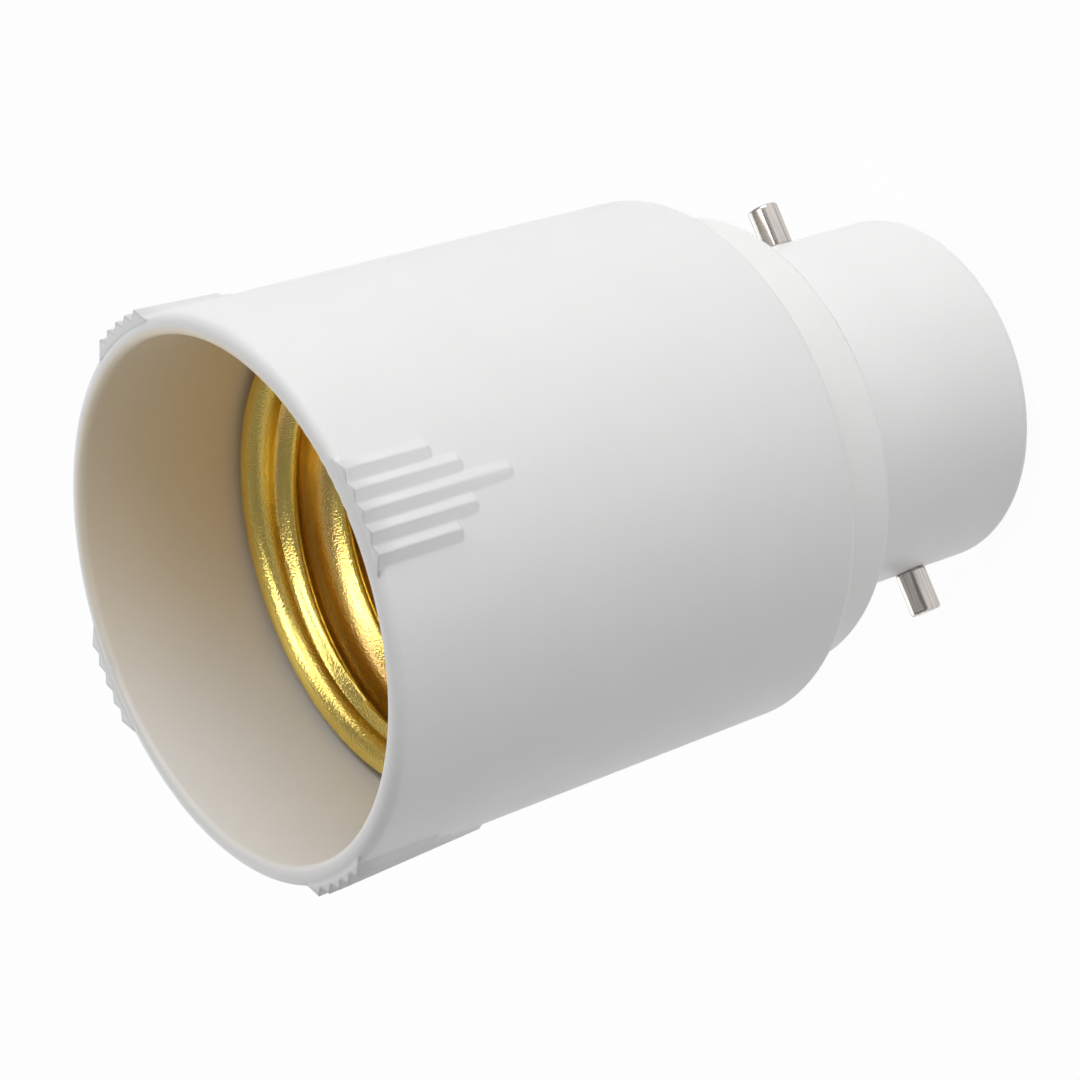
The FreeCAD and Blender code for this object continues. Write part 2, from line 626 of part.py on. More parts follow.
def lead(label, ring, inwards, contact_side):
    """A lead from a tag's tail down to the bore of an end contact, in runs joined by tangent arcs."""
    beside = tag_reach() + size("tag_sheet") / 2 + size("lead_radius") + size("fit_gap")
    start = FreeCAD.Vector(ring.x, ring.y, size(TAG_SEAT)) + inwards * beside
    start.z -= size("tag_tail_drop - lead_overlap")
    end = FreeCAD.Vector(0, contact_side * size("contact_from_axis"), size("contact_proud"))
    span = start.z - end.z
    upper = FreeCAD.Vector(start.x, start.y, start.z - span * 0.34)
    lower = FreeCAD.Vector(end.x, end.y, end.z + span * 0.34)
    runs = [(upper - start).Length, (lower - upper).Length, (end - lower).Length]
    half_turn = (lower - upper).getAngle(FreeCAD.Vector(0, 0, -1)) / 2
    radius = 0.45 * min(runs) / math.tan(half_turn)
    path = Part.Wire(rounded_path([start, upper, lower, end], [radius, radius]))
    section = Part.Wire(Part.makeCircle(size("lead_radius"), start, FreeCAD.Vector(0, 0, 1)))
    solid_feature(label, path.makePipeShell([section], True, False))
    print(label, "bend radius", round(radius, 2), "length", round(path.Length, 1))


outer_shell()
cap_base()
for number, side in ((1, 1), (2, -1)):
    bayonet_pin(number, side)
    end_contact(number, side)
    shell_screw(number, side)
socket_floor()
screw_shell()
centre_rivet()
centre_contact()
rivet_place = FreeCAD.Vector(0, -size(RIVET_FROM_AXIS), 0)
screw_place = FreeCAD.Vector(size(SCREW_FROM_AXIS), 0, 0)
solder_tag("live_tag", rivet_place, size("rivet_radius + fit_gap"), FreeCAD.Vector(0, 1, 0))
solder_tag("neutral_tag", screw_place, size("screw_radius + fit_gap"), FreeCAD.Vector(-1, 0, 0))
lead("live_lead", rivet_place, FreeCAD.Vector(0, 1, 0), -1)
lead("neutral_lead", screw_place, FreeCAD.Vector(-1, 0, 0), 1)

doc.recompute()
for item in doc.Objects:
    if "Invalid" in item.State or "Error" in item.State:
        raise RuntimeError(f"{item.Name} failed: {item.State}")
nodes = [item for item in doc.Objects if item.TypeId in ("PartDesign::Body", "Part::Feature")]
for node in nodes:
    if node.Shape.isNull() or not node.Shape.isValid() or len(node.Shape.Solids) != 1:
        raise RuntimeError(f"{node.Label} is not one valid solid")
os.makedirs("parts", exist_ok=True)
for node in nodes:
    node.Shape.exportStep(f"parts/{node.Label}.step")
    print(node.Label, round(node.Shape.Volume, 2))
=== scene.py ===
import logging
import math
from abc import ABC, abstractmethod
from dataclasses import dataclass
from enum import Enum
from typing import Callable, Iterable

import bmesh
import bpy
from mathutils import Matrix, Vector


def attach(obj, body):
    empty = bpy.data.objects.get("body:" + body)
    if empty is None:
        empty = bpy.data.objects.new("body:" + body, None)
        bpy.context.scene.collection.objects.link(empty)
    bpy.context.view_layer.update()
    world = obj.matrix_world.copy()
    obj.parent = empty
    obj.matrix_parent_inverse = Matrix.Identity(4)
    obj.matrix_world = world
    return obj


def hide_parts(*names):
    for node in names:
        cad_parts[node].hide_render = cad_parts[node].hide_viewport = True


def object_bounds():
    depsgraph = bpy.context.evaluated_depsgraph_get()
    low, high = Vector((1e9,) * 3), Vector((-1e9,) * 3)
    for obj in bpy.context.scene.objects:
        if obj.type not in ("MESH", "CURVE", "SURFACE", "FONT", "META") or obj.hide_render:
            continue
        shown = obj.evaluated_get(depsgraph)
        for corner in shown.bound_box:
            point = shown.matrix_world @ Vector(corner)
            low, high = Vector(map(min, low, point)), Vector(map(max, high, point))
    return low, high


# Looks of the lamp socket adapter: a white moulded skirt and bayonet cap, a rolled brass screw shell,
# nickel pins, and the small metal pieces on its insulating floor. Lengths are in metres, angles of profiles
# in degrees, power in watts, and the lens and its sensor in millimetres, as Blender takes them.
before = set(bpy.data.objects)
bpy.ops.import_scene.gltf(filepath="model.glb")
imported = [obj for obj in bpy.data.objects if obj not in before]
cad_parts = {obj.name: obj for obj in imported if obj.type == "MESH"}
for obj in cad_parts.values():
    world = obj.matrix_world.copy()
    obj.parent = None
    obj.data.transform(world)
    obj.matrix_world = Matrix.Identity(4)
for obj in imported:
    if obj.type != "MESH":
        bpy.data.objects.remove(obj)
CAD_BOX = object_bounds()

MM = 0.001
WHITE = (1.0, 1.0, 1.0, 1.0)
LOG = logging.getLogger("lamp_socket_adapter")

Colour = tuple[float, float, float]
Ring = tuple[float, float]
Socket = bpy.types.NodeSocket
Number = float | Socket


class Body(Enum):
    """The rigid body that a new piece rides on."""

    ADAPTER = "adapter"


class Slot(Enum):
    """A material slot of the record, which nothing here reads."""

    BRASS = "sheet_brass"


class Axis(Enum):
    """The directions along which a drawn, turned or rolled surface has its fine lines."""

    X = (1.0, 0.0, 0.0)
    Y = (0.0, 1.0, 0.0)
    Z = (0.0, 0.0, 1.0)
    ROUND = (1.0, 1.0, 0.0)


@dataclass(frozen=True)
class Fade:
    """A soft change over a range of some measure, from low where it starts to high where it ends."""

    start: float
    end: float
    low: float = 0.0
    high: float = 1.0

    def share(self, value: float) -> float:
        """Work out how far a value has gone over the range.

        Args:
            value: the measure.

        Returns:
            The share from 0 at the start to 1 at the end, with soft ends.
        """
        share = min(1.0, max(0.0, (value - self.start) / (self.end - self.start)))
        return share * share * (3 - 2 * share)


@dataclass(frozen=True)
class RoundPlace:
    """A position in the part's frame, taken apart about the part's axis."""

    outward: Socket
    radius: Socket
    across: Socket
    height: Socket


class Graph:
    """Adds nodes to one shader tree and joins their sockets."""

    def __init__(self, tree: bpy.types.NodeTree) -> None:
        """Start on a tree.

        Args:
            tree: the node tree that gets the nodes.
        """
        self.tree = tree

    def node(self, kind: str, sockets: dict | None = None, **properties: object) -> bpy.types.Node:
        """Add a node and set it up.

        Args:
            kind: the node's type name.
            sockets: input name or index to a value, or to an output socket that is joined to it.
            properties: settings of the node itself.

        Returns:
            The new node.
        """
        made = self.tree.nodes.new(kind)
        for name, value in properties.items():
            setattr(made, name, value)
        for key, value in (sockets or {}).items():
            if isinstance(value, Socket):
                self.join(value, made.inputs[key])
            else:
                made.inputs[key].default_value = value
        return made

    def join(self, source: Socket, target: Socket) -> None:
        """Join an output socket to an input socket."""
        self.tree.links.new(source, target)

    def math(self, operation: str, first: Number, second: Number) -> Socket:
        """Add a math node.

        Args:
            operation: the node's operation, such as MULTIPLY.
            first: a number or an output socket.
            second: a number or an output socket.

        Returns:
            The node's output socket.
        """
        return self.node("ShaderNodeMath", {0: first, 1: second}, operation=operation).outputs[0]

    def product(self, first: Number, *others: Number) -> Socket:
        """Multiply a value by others, one after another.

        Args:
            first: a number or an output socket.
            others: numbers or output sockets.

        Returns:
            The product's output socket.
        """
        for other in others:
            first = self.math("MULTIPLY", first, other)
        return first

    def weighted_sum(self, first: Socket, first_weight: float,
                     second: Socket, second_weight: float) -> Socket:
        """Add two values, each with its weight.

        Args:
            first: the first value's output socket.
            first_weight: what the first value is multiplied by.
            second: the second value's output socket.
            second_weight: what the second value is multiplied by.

        Returns:
            The sum's output socket.
        """
        return self.math("ADD", self.product(first, first_weight), self.product(second, second_weight))

    def band(self, value: Socket, fade: Fade) -> Socket:
        """Map a value over a soft change.

        Args:
            value: the output socket to map.
            fade: the change.

        Returns:
            The mapped output socket.
        """
        sockets = {"Value": value, "From Min": fade.start, "From Max": fade.end,
                   "To Min": fade.low, "To Max": fade.high}
        return self.node("ShaderNodeMapRange", sockets, interpolation_type="SMOOTHSTEP").outputs["Result"]

    def spread(self, value: Socket, low: float, high: float) -> Socket:
        """Map a mask from 0 to 1 onto the range from low to high.

        Args:
            value: the mask's output socket.
            low: what 0 becomes.
            high: what 1 becomes.

        Returns:
            The mapped output socket.
        """
        sockets = {"Value": value, "To Min": low, "To Max": high}
        return self.node("ShaderNodeMapRange", sockets).outputs["Result"]

    def tint(self, mask: Socket, first: Colour | Socket, second: Colour | Socket) -> Socket:
        """Mix two colours by a mask.

        Args:
            mask: the mask's output socket.
            first: the colour, or a colour's output socket, where the mask is 0.
            second: the colour, or a colour's output socket, where the mask is 1.

        Returns:
            The colour's output socket.
        """
        colours = [(*colour, 1) if isinstance(colour, tuple) else colour for colour in (first, second)]
        mixed = self.node("ShaderNodeMix", {0: mask, 6: colours[0], 7: colours[1]}, data_type="RGBA")
        return mixed.outputs[2]

    def round_place(self, position: Socket) -> RoundPlace:
        """Take a position apart about the part's axis.

        Args:
            position: the output socket of the position in the part's frame.

        Returns:
            The way out from the axis, its length, the place along X and the height.
        """
        outward = self.node("ShaderNodeVectorMath", {
            0: position, 1: (1.0, 1.0, 0.0)}, operation="MULTIPLY").outputs[0]
        radius = self.node("ShaderNodeVectorMath", {0: outward}, operation="LENGTH").outputs["Value"]
        split = self.node("ShaderNodeSeparateXYZ", {0: position}).outputs
        return RoundPlace(outward, radius, split["X"], split["Z"])

    def group(self, tree: bpy.types.NodeTree, sockets: dict) -> bpy.types.Node:
        """Place a shared node group.

        Args:
            tree: the group's tree.
            sockets: input name to a value or an output socket.

        Returns:
            The group's node.
        """
        return self.node("ShaderNodeGroup", sockets, node_tree=tree)


@dataclass
class PatternGroups:
    """The node groups that the materials share, each built once, and the measures of what they mark."""

    mottle_detail: float = 3.0
    peel_detail: float = 2.0
    line_detail: float = 4.0
    line_low: float = 0.35
    line_high: float = 0.65
    # Where the painted shade of the thread's hollows lies.
    hollow_radius: Fade = Fade(12.5 * MM, 12.95 * MM)
    hollow_height: Fade = Fade(41.2 * MM, 40.4 * MM)
    # Where the painted warm bounce from the brass lies in the skirt's bore.
    bore_radius: Fade = Fade(16.0 * MM, 15.6 * MM)
    bore_side: Fade = Fade(-7.0 * MM, 12.5 * MM, low=0.12)
    bore_depth: Fade = Fade(53.0 * MM, 43.0 * MM, low=0.6)
    rib_radius: Fade = Fade(16.55 * MM, 16.7 * MM)
    rib_height: Fade = Fade(51.0 * MM, 52.7 * MM, low=0.45, high=0.95)
    rib_facing: Fade = Fade(0.3, 0.8, low=1.0, high=0.15)

    def __post_init__(self) -> None:
        """Build the groups."""
        self.grain = self._grain()
        self.lines = self._lines()
        self.hollows = self._painted_hollow_shade()
        self.bore = self._painted_bore_bounce()
        self.ribs = self._ribs()

    @staticmethod
    def _empty(name: str, inputs: dict[str, tuple[str, object]], outputs: Iterable[str],
               output_kind: str = "NodeSocketFloat") -> tuple[Graph, bpy.types.Node, bpy.types.Node]:
        """Make an empty group with its sockets.

        Args:
            name: the group's name.
            inputs: input name to its socket type and default value.
            outputs: names of the outputs.
            output_kind: the socket type of all the outputs.

        Returns:
            The group's graph, its input node and its output node.
        """
        tree = bpy.data.node_groups.new(name, "ShaderNodeTree")
        for label, (kind, default) in inputs.items():
            socket = tree.interface.new_socket(name=label, in_out="INPUT", socket_type=kind)
            if default is not None:
                socket.default_value = default
        for label in outputs:
            tree.interface.new_socket(name=label, in_out="OUTPUT", socket_type=output_kind)
        graph = Graph(tree)
        return graph, graph.node("NodeGroupInput"), graph.node("NodeGroupOutput")

    def _grain(self) -> bpy.types.NodeTree:
        """Build the grain: a broad and a fine mottle of one surface.

        Returns:
            The node group.
        """
        graph, source, target = self._empty(
            "surface_grain",
            {"Place": ("NodeSocketVector", None), "Broad": ("NodeSocketFloat", 200.0),
             "Fine": ("NodeSocketFloat", 3000.0)},
            ("Mottle", "Peel"))
        for label, scale, detail in (
                ("Mottle", "Broad", self.mottle_detail), ("Peel", "Fine", self.peel_detail)):
            noise = graph.node("ShaderNodeTexNoise", {
                "Vector": source.outputs["Place"], "Scale": source.outputs[scale], "Detail": detail})
            graph.join(noise.outputs["Fac"], target.inputs[label])
        return graph.tree

    def _lines(self) -> bpy.types.NodeTree:
        """Build the lines that drawing or rolling leaves along a metal surface.

        Returns:
            The node group.
        """
        graph, source, target = self._empty(
            "drawn_lines",
            {"Place": ("NodeSocketVector", None), "Stretch": ("NodeSocketVector", (1.0, 1.0, 1.0))},
            ("Line", "Height"))
        placed = graph.node("ShaderNodeVectorMath", {
            0: source.outputs["Place"], 1: source.outputs["Stretch"]}, operation="MULTIPLY").outputs[0]
        noise = graph.node("ShaderNodeTexNoise", {
            "Vector": placed, "Scale": 1.0, "Detail": self.line_detail}).outputs["Fac"]
        crisp = graph.node("ShaderNodeMapRange", {
            "Value": noise, "From Min": self.line_low, "From Max": self.line_high})
        graph.join(crisp.outputs["Result"], target.inputs["Line"])
        graph.join(noise, target.inputs["Height"])
        return graph.tree

    def _painted_hollow_shade(self) -> bpy.types.NodeTree:
        """Build the mask of the hollows of the rolled thread, whose browner, darker colour than the crests'
        is painted shade and brass-on-brass reflection.

        Returns:
            The node group.
        """
        graph, source, target = self._empty(
            "painted_thread_hollow_shade", {"Place": ("NodeSocketVector", None)}, ("Painted hollow shade",))
        place = graph.round_place(source.outputs["Place"])
        deep = graph.band(place.radius, self.hollow_radius)
        below_lip = graph.band(place.height, self.hollow_height)
        graph.join(graph.product(deep, below_lip), target.inputs["Painted hollow shade"])
        return graph.tree

    def _painted_bore_bounce(self) -> bpy.types.NodeTree:
        """Build the mask of the skirt's bore, where the brass shell's warm bounce light is painted into the
        moulding's colour, stronger deeper in and towards +X.

        Returns:
            The node group.
        """
        graph, source, target = self._empty(
            "painted_bore_bounce", {"Place": ("NodeSocketVector", None)}, ("Cast",))
        place = graph.round_place(source.outputs["Place"])
        inside = graph.band(place.radius, self.bore_radius)
        side = graph.band(place.across, self.bore_side)
        depth = graph.band(place.height, self.bore_depth)
        graph.join(graph.product(inside, side, depth), target.inputs["Cast"])
        return graph.tree

    def _ribs(self) -> bpy.types.NodeTree:
        """Build the normal that makes the grip ribs look like low waves with faded starts at the mouth.

        Returns:
            The node group.
        """
        graph, source, target = self._empty(
            "soft_ribs", {"Place": ("NodeSocketVector", None), "Normal": ("NodeSocketVector", None)},
            ("Normal",), "NodeSocketVector")
        place = graph.round_place(source.outputs["Place"])
        outward = graph.node("ShaderNodeVectorTransform", {
            0: place.outward}, vector_type="NORMAL", convert_from="OBJECT", convert_to="WORLD").outputs[0]
        facing = graph.node("ShaderNodeSeparateXYZ", {
            0: graph.node("ShaderNodeTexCoord").outputs["Normal"]}).outputs["Z"]
        proud = graph.band(place.radius, self.rib_radius)
        start = graph.band(place.height, self.rib_height)
        side = graph.band(facing, self.rib_facing)
        mixed = graph.node("ShaderNodeMix", {
            0: graph.product(proud, start, side), 4: source.outputs["Normal"], 5: outward},
            data_type="VECTOR").outputs[1]
        soft = graph.node("ShaderNodeVectorMath", {0: mixed}, operation="NORMALIZE").outputs[0]
        graph.join(soft, target.inputs["Normal"])
        return graph.tree


PATTERNS = PatternGroups()


def start_material(name: str) -> tuple[bpy.types.Material, Graph, bpy.types.Node, Socket]:
    """Make a material that holds only its shader.

    Args:
        name: the material's name.

    Returns:
        The material, its graph, its Principled shader, and the object coordinates.
    """
    material = bpy.data.materials.new(name)
    material.use_nodes = True
    graph = Graph(material.node_tree)
    shader = next(n for n in material.node_tree.nodes if n.type == "BSDF_PRINCIPLED")
    place = graph.node("ShaderNodeTexCoord").outputs["Object"]
    return material, graph, shader, place


@dataclass(frozen=True)
class Finish(ABC):
    """What every finish of the part has: its name, its two tones and its roughness."""

    name: str
    light: Colour
    dark: Colour
    roughness: float

    @abstractmethod
    def material(self) -> bpy.types.Material:
        """Build the material."""


@dataclass(frozen=True)
class Moulding(Finish):
    """A moulded plastic: a satin skin with a faint mottle and a fine spark-eroded texture, and, where given,
    a painted warm bounce from the brass in the skirt's bore.
    """

    peel_depth: float
    edge_radius: float = 0.12 * MM
    edge_samples: int = 8
    painted_bounce: Colour | None = None
    ribbed: bool = False
    mottle_scale: float = 230.0
    peel_scale: float = 5200.0
    roughness_range: float = 0.05
    refraction: float = 1.5
    gloss: float = 0.35

    def material(self) -> bpy.types.Material:
        """Build the material.

        Returns:
            The finished material.
        """
        material, graph, shader, place = start_material(self.name)
        grain = graph.group(PATTERNS.grain, {
            "Place": place, "Broad": self.mottle_scale, "Fine": self.peel_scale}).outputs
        colour = graph.tint(grain["Mottle"], self.light, self.dark)
        # Painted light: warm bounce from the brass laid into the colour inside the skirt's bore.
        if self.painted_bounce is not None:
            mask = graph.group(PATTERNS.bore, {"Place": place}).outputs["Cast"]
            colour = graph.tint(mask, colour, self.painted_bounce)
        graph.join(colour, shader.inputs["Base Color"])
        rough = graph.spread(grain["Mottle"], self.roughness - self.roughness_range,
                             self.roughness + self.roughness_range)
        graph.join(rough, shader.inputs["Roughness"])
        normal = graph.node("ShaderNodeBevel", {"Radius": self.edge_radius},
                            samples=self.edge_samples).outputs["Normal"]
        if self.ribbed:
            normal = graph.group(PATTERNS.ribs, {"Place": place, "Normal": normal}).outputs["Normal"]
        bump = graph.node("ShaderNodeBump", {
            "Height": grain["Peel"], "Distance": self.peel_depth, "Strength": 1.0, "Normal": normal})
        graph.join(bump.outputs["Normal"], shader.inputs["Normal"])
        shader.inputs["IOR"].default_value = self.refraction
        shader.inputs["Specular IOR Level"].default_value = self.gloss
        return material


@dataclass(frozen=True)
class Metal(Finish):
    """A plated, turned or rolled metal, with lines along one direction, a fine mottle and, where given,
    painted shade in a rolled thread's hollows.
    """

    axis: Axis
    line_width: float
    line_length: float
    line_share: float
    peel_size: float
    peel_depth: float
    line_depth: float = 0.002 * MM
    # The hollows' colour: painted shade, browner and darker than the crests.
    hollow: Colour | None = None
    mottle_scale: float = 600.0
    roughness_share: float = 0.3

    def material(self) -> bpy.types.Material:
        """Build the material.

        Returns:
            The finished material.
        """
        material, graph, shader, place = start_material(self.name)
        stretch = [1 / (self.line_length if along else self.line_width) for along in self.axis.value]
        lines = graph.group(PATTERNS.lines, {"Place": place, "Stretch": stretch}).outputs
        grain = graph.group(PATTERNS.grain, {
            "Place": place, "Broad": self.mottle_scale, "Fine": 1 / self.peel_size}).outputs
        shade = graph.weighted_sum(lines["Line"], self.line_share, grain["Mottle"], 1 - self.line_share)
        colour = graph.tint(shade, self.light, self.dark)
        # Painted shade: the thread's hollows tinted browner and darker than the crests.
        if self.hollow is not None:
            mask = graph.group(PATTERNS.hollows, {"Place": place}).outputs["Painted hollow shade"]
            colour = graph.tint(mask, colour, graph.tint(shade, self.hollow, self.dark))
        graph.join(colour, shader.inputs["Base Color"])
        rough = graph.spread(grain["Mottle"], self.roughness * (1 - self.roughness_share),
                             self.roughness * (1 + self.roughness_share))
        graph.join(rough, shader.inputs["Roughness"])
        shader.inputs["Metallic"].default_value = 1.0
        height = graph.weighted_sum(lines["Height"], self.line_depth, grain["Peel"], self.peel_depth)
        bump = graph.node("ShaderNodeBump", {"Height": height, "Distance": 1.0, "Strength": 1.0})
        graph.join(bump.outputs["Normal"], shader.inputs["Normal"])
        return material


def finishes() -> list[tuple[Finish, tuple[str, ...]]]:
    """List the finishes of the CAD nodes.

    Returns:
        Each finish with the names of the nodes that take it.
    """
    # The skirt's third colour is painted warm bounce light from the brass, laid inside its bore.
    skirt = Moulding("white_skirt", light=(0.85, 0.85, 0.845), dark=(0.82, 0.82, 0.815), roughness=0.42,
                     peel_depth=0.0012 * MM, edge_radius=0.4 * MM, painted_bounce=(0.94, 0.77, 0.5), ribbed=True)
    # The cap's white is painted lighter than the skirt's, though both are one moulding, standing in for more
    # light on the cap.
    cap = Moulding("white_cap", light=(0.89, 0.89, 0.885), dark=(0.86, 0.86, 0.855), roughness=0.38,
                   peel_depth=0.0012 * MM, edge_radius=0.2 * MM)
    disc = Moulding("insulating_disc", light=(0.72, 0.70, 0.65), dark=(0.64, 0.62, 0.57), roughness=0.6,
                    peel_depth=0.003 * MM)
    nickel = Metal("nickel_steel", light=(0.74, 0.70, 0.66), dark=(0.42, 0.38, 0.35), roughness=0.2,
                   axis=Axis.X, line_width=0.25 * MM, line_length=6 * MM, line_share=0.8,
                   peel_size=0.1 * MM, peel_depth=0.001 * MM)
    spring = Metal("spring_brass", light=(0.84, 0.62, 0.26), dark=(0.66, 0.45, 0.16), roughness=0.24,
                   axis=Axis.Y, line_width=0.12 * MM, line_length=4 * MM, line_share=0.6,
                   peel_size=0.1 * MM, peel_depth=0.001 * MM)
    turned = Metal("turned_brass", light=(0.84, 0.64, 0.30), dark=(0.68, 0.48, 0.2), roughness=0.22,
                   axis=Axis.Z, line_width=0.15 * MM, line_length=0.5 * MM, line_share=0.4,
                   peel_size=0.1 * MM, peel_depth=0.001 * MM)
    zinc = Metal("zinc_steel", light=(0.62, 0.62, 0.60), dark=(0.44, 0.44, 0.42), roughness=0.3,
                 axis=Axis.Z, line_width=0.3 * MM, line_length=0.6 * MM, line_share=0.4,
                 peel_size=0.08 * MM, peel_depth=0.0015 * MM)
    sleeve = Moulding("lead_sleeve", light=(0.70, 0.66, 0.60), dark=(0.62, 0.58, 0.53), roughness=0.5,
                      peel_depth=0.002 * MM)
    return [
        (skirt, ("outer_shell",)), (cap, ("cap_base",)), (disc, ("socket_floor",)),
        (nickel, ("bayonet_pin_1", "bayonet_pin_2")), (spring, ("centre_contact",)),
        (turned, ("centre_rivet", "live_tag", "neutral_tag", "end_contact_1", "end_contact_2")),
        (zinc, ("shell_screw_1", "shell_screw_2")), (sleeve, ("live_lead", "neutral_lead")),
    ]


def dress(node: str, material: bpy.types.Material) -> None:
    """Give a CAD node its finish.

    Args:
        node: the node's name.
        material: the finish for all its material slots.
    """
    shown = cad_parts[node]
    if not shown.material_slots:
        shown.data.materials.append(material)
    for slot in shown.material_slots:
        slot.material = material
    LOG.info("dressed %s in %s", node, material.name)


class Workbench:
    """The steps that a piece is modelled with, and the rings that it is drawn out through."""

    @staticmethod
    def clear_selection() -> None:
        """Leave edit mode and deselect everything."""
        if bpy.context.mode != "OBJECT":
            bpy.ops.object.mode_set(mode="OBJECT")
        bpy.ops.object.select_all(action="DESELECT")

    @staticmethod
    def pick_only(obj: bpy.types.Object) -> None:
        """Select one object and make it active.

        Args:
            obj: the object.
        """
        Workbench.clear_selection()
        obj.select_set(True)
        bpy.context.view_layer.objects.active = obj

    @staticmethod
    def pick_edges(obj: bpy.types.Object, wanted: Callable[[Vector, Vector], bool]) -> None:
        """Select, in edit mode, the edges that pass a test.

        Args:
            obj: the object in edit mode.
            wanted: says from an edge's two points whether it is selected.
        """
        bpy.ops.mesh.select_mode(type="EDGE")
        bpy.ops.mesh.select_all(action="DESELECT")
        mesh = bmesh.from_edit_mesh(obj.data)
        for edge in mesh.edges:
            edge.select_set(wanted(edge.verts[0].co, edge.verts[1].co))
        mesh.select_flush_mode()
        bmesh.update_edit_mesh(obj.data)

    @staticmethod
    def draw_out(start: Ring, rings: Iterable[Ring]) -> None:
        """Extrude the selected ring of edges through rings of other radii and heights.

        Args:
            start: radius and height of the selected ring.
            rings: radius and height of each next ring.
        """
        radius, height = start
        for next_radius, next_height in rings:
            bpy.ops.mesh.extrude_edges_move(TRANSFORM_OT_translate={"value": (0, 0, next_height - height)})
            share = next_radius / radius
            bpy.ops.transform.resize(value=(share, share, 1), center_override=(0, 0, 0))
            radius, height = next_radius, next_height

    @staticmethod
    def arc(centre: Ring, radius: float, start: float, end: float, steps: int) -> list[Ring]:
        """Lay rings along an arc of a revolved profile.

        Args:
            centre: radius and height of the arc's centre.
            radius: the arc's own radius.
            start: the angle in degrees at which the arc starts, where no ring is laid.
            end: the angle in degrees at which it ends.
            steps: how many rings are laid.

        Returns:
            Radius and height of each ring.
        """
        turns = [math.radians(start + (end - start) * step / steps) for step in range(1, steps + 1)]
        return [(centre[0] + radius * math.cos(turn), centre[1] + radius * math.sin(turn)) for turn in turns]

    @staticmethod
    def apply(obj: bpy.types.Object, kind: str, **settings: object) -> None:
        """Add a modifier and apply it.

        Args:
            obj: the object.
            kind: the modifier's type.
            settings: its settings.
        """
        Workbench.pick_only(obj)
        modifier = obj.modifiers.new(kind.lower(), kind)
        for name, value in settings.items():
            setattr(modifier, name, value)
        bpy.ops.object.modifier_apply(modifier=modifier.name)


